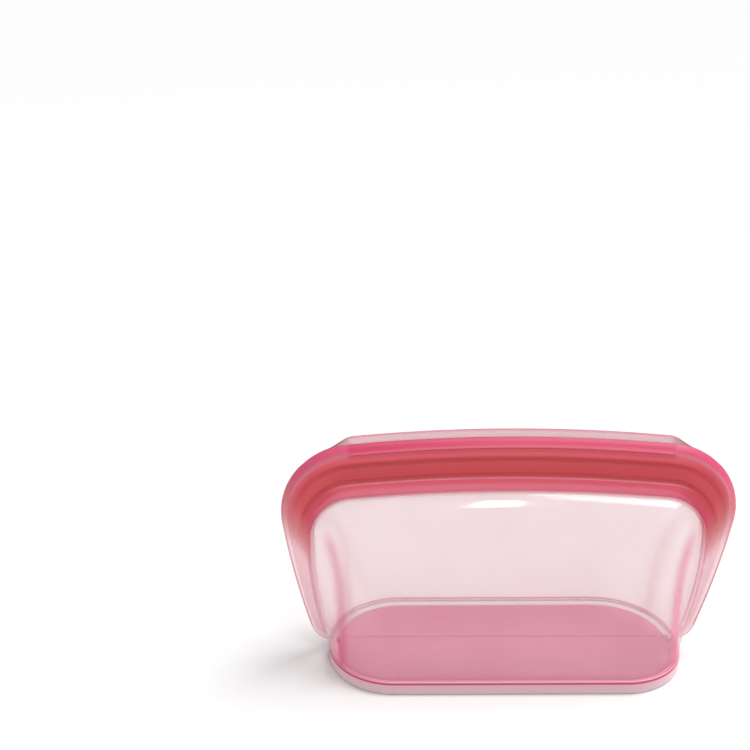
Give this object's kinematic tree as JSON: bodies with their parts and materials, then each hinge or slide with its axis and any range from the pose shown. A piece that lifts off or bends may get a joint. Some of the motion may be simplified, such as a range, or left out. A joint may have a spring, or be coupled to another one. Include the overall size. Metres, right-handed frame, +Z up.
{
  "type": "reusable silicone bag",
  "caption": "Stand-up food storage bag of translucent silicone with a rib-and-groove press seal, pull tabs, bonded side flanges and a flat oval base on a foot rim.",
  "frame": {"origin": "on the resting plane, under the middle of the base", "axes": "+X along the mouth, from the left shoulder to the right one as seen from the front; -Y towards the front, where the lower pull tab is; +Z up"},
  "size_m": [0.19, 0.066, 0.1054],
  "materials": {
    "wall": "translucent satin",
    "seal": "translucent satin",
    "pull_tab": "translucent satin",
    "seal_corner": "translucent satin",
    "flange": "translucent satin",
    "floor": "translucent satin",
    "foot_rim": "translucent satin"
  },
  "bodies": {
    "pouch": {"foot_rim_front": "foot_rim", "floor_front": "floor", "foot_rim_back": "foot_rim", "floor_back": "floor", "base_bond": "floor", "side_bond_right": "flange", "side_flange_front_right": "flange", "seal_corner_front_right": "seal_corner", "side_gusset_front_right": "wall", "side_flange_back_right": "flange", "seal_corner_back_right": "seal_corner", "side_gusset_back_right": "wall", "side_bond_left": "flange", "side_flange_front_left": "flange", "seal_corner_front_left": "seal_corner", "side_gusset_front_left": "wall", "side_flange_back_left": "flange", "seal_corner_back_left": "seal_corner", "side_gusset_back_left": "wall"},
    "front_panel": {"front_wall": "wall", "front_seal_strip": "seal", "front_pull_tab": "pull_tab"},
    "back_panel": {"back_wall": "wall", "back_seal_strip": "seal", "back_pull_tab": "pull_tab"}
  },
  "joints": [
    {"name": "front_panel_flex", "type": "hinge", "parent": "pouch", "child": "front_panel", "pos_m": [0, -0.0322, 0.0051], "axis": [1, 0, 0], "range_deg": [0, 20], "stiffness_Nm_per_rad": 0.06},
    {"name": "back_panel_flex", "type": "hinge", "parent": "pouch", "child": "back_panel", "pos_m": [0, 0.0322, 0.0051], "axis": [-1, 0, 0], "range_deg": [0, 20], "stiffness_Nm_per_rad": 0.06}
  ]
}
